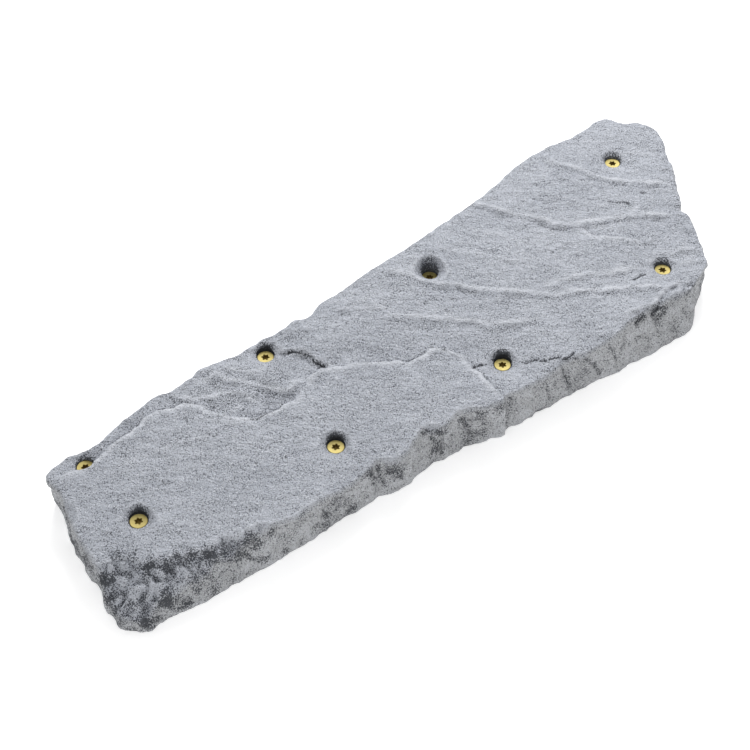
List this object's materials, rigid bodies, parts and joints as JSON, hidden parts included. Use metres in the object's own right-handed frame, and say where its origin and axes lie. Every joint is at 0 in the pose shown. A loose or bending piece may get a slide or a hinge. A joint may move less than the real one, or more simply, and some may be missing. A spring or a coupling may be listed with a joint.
{
  "type": "climbing wall rock panel",
  "caption": "Long artificial-rock climbing panel with a stepped, cracked stone face and a flat back, held to a wall by countersunk screws in round pockets.",
  "frame": {"origin": "middle of the panel's flat back face, on the plane that rests on the wall", "axes": "+X along the panel towards its wide pointed end, +Y across it, +Z out of the rock face"},
  "size_m": [0.601, 0.196, 0.074],
  "materials": {
    "cast_rock": "matte",
    "washer_steel": "satin",
    "screw_yellow_zinc": "satin"
  },
  "bodies": {
    "panel": {"rock_panel": "cast_rock", "seat_washer_1": "washer_steel", "seat_washer_2": "washer_steel", "seat_washer_3": "washer_steel", "seat_washer_4": "washer_steel", "seat_washer_5": "washer_steel", "seat_washer_6": "washer_steel", "seat_washer_7": "washer_steel", "seat_washer_8": "washer_steel"},
    "screw_1": {"screw_1": "screw_yellow_zinc"},
    "screw_2": {"screw_2": "screw_yellow_zinc"},
    "screw_3": {"screw_3": "screw_yellow_zinc"},
    "screw_4": {"screw_4": "screw_yellow_zinc"},
    "screw_5": {"screw_5": "screw_yellow_zinc"},
    "screw_6": {"screw_6": "screw_yellow_zinc"},
    "screw_7": {"screw_7": "screw_yellow_zinc"},
    "screw_8": {"screw_8": "screw_yellow_zinc"}
  },
  "joints": [
    {"name": "screw_1_draw", "type": "slide", "parent": "panel", "child": "screw_1", "axis": [0, 0, 1], "range_m": [0, 0.065]},
    {"name": "screw_2_draw", "type": "slide", "parent": "panel", "child": "screw_2", "axis": [0, 0, 1], "range_m": [0, 0.065]},
    {"name": "screw_3_draw", "type": "slide", "parent": "panel", "child": "screw_3", "axis": [0, 0, 1], "range_m": [0, 0.065]},
    {"name": "screw_4_draw", "type": "slide", "parent": "panel", "child": "screw_4", "axis": [0, 0, 1], "range_m": [0, 0.065]},
    {"name": "screw_5_draw", "type": "slide", "parent": "panel", "child": "screw_5", "axis": [0, 0, 1], "range_m": [0, 0.065]},
    {"name": "screw_6_draw", "type": "slide", "parent": "panel", "child": "screw_6", "axis": [0, 0, 1], "range_m": [0, 0.065]},
    {"name": "screw_7_draw", "type": "slide", "parent": "panel", "child": "screw_7", "axis": [0, 0, 1], "range_m": [0, 0.065]},
    {"name": "screw_8_draw", "type": "slide", "parent": "panel", "child": "screw_8", "axis": [0, 0, 1], "range_m": [0, 0.065]}
  ]
}
